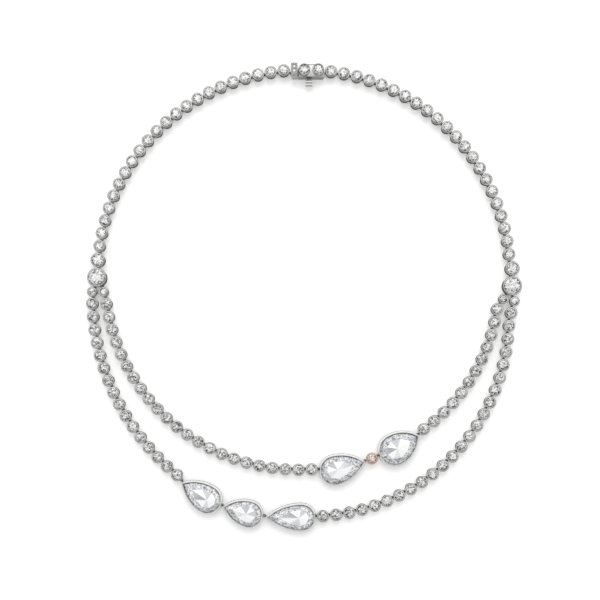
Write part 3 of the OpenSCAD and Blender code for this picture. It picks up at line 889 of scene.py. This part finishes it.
def diamond(name, bright, deep, gleam):
    """Facet tone plus mosaic plus a soft cloud, from the deep to the bright colour: painted reflections.
    """
    material, nodes, links, shader = new_material(name)
    shader.inputs["Roughness"].default_value = 0.03
    shader.inputs["IOR"].default_value = 2.42
    shader.inputs["Specular IOR Level"].default_value = gleam
    where = nodes.new("ShaderNodeTexCoord")
    cells = nodes.new("ShaderNodeTexVoronoi")
    cells.inputs["Scale"].default_value = CELL_SCALE
    links.new(where.outputs["Object"], cells.inputs["Vector"])
    flash = nodes.new("ShaderNodeSeparateColor")
    links.new(cells.outputs["Color"], flash.inputs["Color"])
    mosaic = nodes.new("ShaderNodeAttribute")
    mosaic.attribute_name = "mosaic"
    tone = nodes.new("ShaderNodeAttribute")
    tone.attribute_name = "tone"
    centred = worked_out(nodes, links, "SUBTRACT", flash.outputs["Red"], 0.5)
    share = worked_out(nodes, links, "MULTIPLY", centred, mosaic.outputs["Fac"])
    total = worked_out(nodes, links, "ADD", share, tone.outputs["Fac"])
    cloud = nodes.new("ShaderNodeTexNoise")
    cloud.inputs["Scale"].default_value = CLOUD_SCALE
    links.new(where.outputs["Object"], cloud.inputs["Vector"])
    drift = nodes.new("ShaderNodeMath")
    drift.operation = "MULTIPLY_ADD"
    drift.inputs[1].default_value = CLOUD_STRENGTH
    drift.inputs[2].default_value = -CLOUD_STRENGTH / 2
    links.new(cloud.outputs["Fac"], drift.inputs[0])
    clouded = worked_out(nodes, links, "ADD", total, drift.outputs["Value"])
    ramp = nodes.new("ShaderNodeValToRGB")
    ramp.color_ramp.elements[0].color, ramp.color_ramp.elements[1].color = (*deep, 1), (*bright, 1)
    links.new(clouded, ramp.inputs["Fac"])
    links.new(ramp.outputs["Color"], shader.inputs["Base Color"])
    return material


clear_diamond = diamond("clear diamond", (0.95, 0.96, 0.96), (0.01, 0.01, 0.012), 0.5)
rose_cut_diamond = diamond("rose-cut diamond", (1.0, 1.0, 1.0), (0.07, 0.09, 0.12), 0.2)
pink_diamond = diamond("pale pink diamond", (0.95, 0.83, 0.8), (0.13, 0.04, 0.06), 0.3)
SLOT_FINISHES = {"white_gold": collet_gold, "rose_gold": rose_gold,
                 "diamond": clear_diamond, "pink_diamond": pink_diamond}
OWN_FINISHES = {"clasp_case": satin_gold, "clasp_press": satin_gold, "clasp_end_plate": satin_gold}
for k in range(1, len(PEARS) + 1):
    OWN_FINISHES[f"pear_bezel_{k}"] = white_gold
    OWN_FINISHES[f"pear_rose_cut_{k}"] = rose_cut_diamond
for name, piece in pieces.items():
    piece.data.materials.clear()
    piece.data.materials.append(OWN_FINISHES.get(name, SLOT_FINISHES[piece["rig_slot"]]))
for source in sources.values():
    bpy.data.objects.remove(source)
print("pieces with a finish", len(pieces))

# %% [markdown]
# ## The studio
# The photograph has a plain white ground, lit from below as a jeweller's light table is, which
# makes its shadows so pale. One soft box stands behind and a smaller one on each side, the
# left one brighter, so the shadows fall towards the front and into the loop. A box's mirror
# image would burn small white spots into the metal, so it is left out.

# %% Floor and soft boxes
bpy.ops.object.select_all(action="DESELECT")
bpy.ops.mesh.primitive_plane_add(size=3)
floor = bpy.context.object
floor.name = "floor"
paper, _, _, shader = new_material("plain paper")
shader.inputs["Base Color"].default_value = (0.93, 0.93, 0.93, 1)
shader.inputs["Roughness"].default_value = 0.9
shader.inputs["Emission Color"].default_value = (1, 1, 1, 1)
shader.inputs["Emission Strength"].default_value = 0.24
floor.data.materials.append(paper)


def soft_light(name, place, size, power):
    """A round soft box at a place in metres, turned to the middle of the floor."""
    light = bpy.data.lights.new(name, "AREA")
    light.shape, light.size, light.energy = "DISK", size, power
    lamp = bpy.data.objects.new(name, light)
    lamp.location = place
    lamp.rotation_euler = (-Vector(place)).to_track_quat("-Z", "Y").to_euler()
    lamp.visible_camera = lamp.visible_glossy = False
    bpy.context.scene.collection.objects.link(lamp)


soft_light("back", (0, 0.88, 1.08), 1.0, 6.5)
soft_light("left", (-0.25, 0.03, 0.25), 0.24, 0.05)
soft_light("right", (0.25, 0.03, 0.25), 0.24, 0.015)

# %% [markdown]
# ## The room
# Without the boxes, the metal mirrors the room alone: bright behind, darker in front, low down,
# and straight above, where the camera hangs. The camera itself sees a plain pale room, as a
# photographer's backdrop would show.

# %% The room that the metal mirrors
# Bands of brightness: how steeply up, from 0 at the horizon to 1 overhead, and how bright
BANDS = ((0.25, 0.4), (0.5, 0.85), (0.8, 0.95), (0.93, 1.05), (0.965, 1.0), (0.99, 0.45))
# Brightness from the horizon down and straight overhead, and the room's strength in front and behind
BELOW, ABOVE, FRONT, BACK = 0.3, 0.4, 0.5, 1.3
room = bpy.data.worlds.new("room")
bpy.context.scene.world = room
room.use_nodes = True
nodes, links = room.node_tree.nodes, room.node_tree.links
where = nodes.new("ShaderNodeTexCoord")
parts = nodes.new("ShaderNodeSeparateXYZ")
bands = nodes.new("ShaderNodeValToRGB")
bands.color_ramp.elements[0].color = (BELOW, BELOW, BELOW, 1)
bands.color_ramp.elements[1].color = (ABOVE, ABOVE, ABOVE, 1)
for position, value in BANDS:
    bands.color_ramp.elements.new(position).color = (value, value, value, 1)
side = nodes.new("ShaderNodeMapRange")
side.inputs["From Min"].default_value, side.inputs["From Max"].default_value = -1, 1
side.inputs["To Min"].default_value, side.inputs["To Max"].default_value = FRONT, BACK
links.new(where.outputs["Generated"], parts.inputs["Vector"])
links.new(parts.outputs["Z"], bands.inputs["Fac"])
links.new(parts.outputs["Y"], side.inputs["Value"])
links.new(side.outputs["Result"], nodes["Background"].inputs["Strength"])
links.new(bands.outputs["Color"], nodes["Background"].inputs["Color"])
backdrop = nodes.new("ShaderNodeBackground")
seen = nodes.new("ShaderNodeMixShader")
ray = nodes.new("ShaderNodeLightPath")
links.new(ray.outputs["Is Camera Ray"], seen.inputs["Fac"])
links.new(nodes["Background"].outputs["Background"], seen.inputs[1])
links.new(backdrop.outputs["Background"], seen.inputs[2])
links.new(seen.outputs["Shader"], nodes["World Output"].inputs["Surface"])
bpy.context.scene.view_settings.view_transform = "Standard"
print("studio is lit")

# %% [markdown]
# ## The camera
# The photograph looks straight down from a little in front of the middle: the clasp shows its
# front wall, and the lowest pears show their back one. A small shift, and no tilt, keeps the
# plan free of perspective.

# %% Camera
# In mm: its height above the collets' rims, the width that it sees there, its own place in the
# plan, and where the middle of the picture lies
camera_height, seen_width, camera_x, camera_y, picture_y = 324.7, 191.6, -1.2, -22.2, -0.62
# Width of the film, in mm too
FILM_WIDTH = 36
camera = bpy.data.objects.new("camera", bpy.data.cameras.new("camera"))
bpy.context.scene.collection.objects.link(camera)
camera.location = (camera_x * MM, camera_y * MM, (RIM_H + camera_height) * MM)
camera.data.sensor_width = FILM_WIDTH
camera.data.lens = FILM_WIDTH * camera_height / seen_width
camera.data.shift_y = (picture_y - camera_y) / seen_width
camera.data.clip_start = 0.01
bpy.context.scene.camera = camera
print("lens", round(camera.data.lens, 1), "shift", round(camera.data.shift_y, 3))
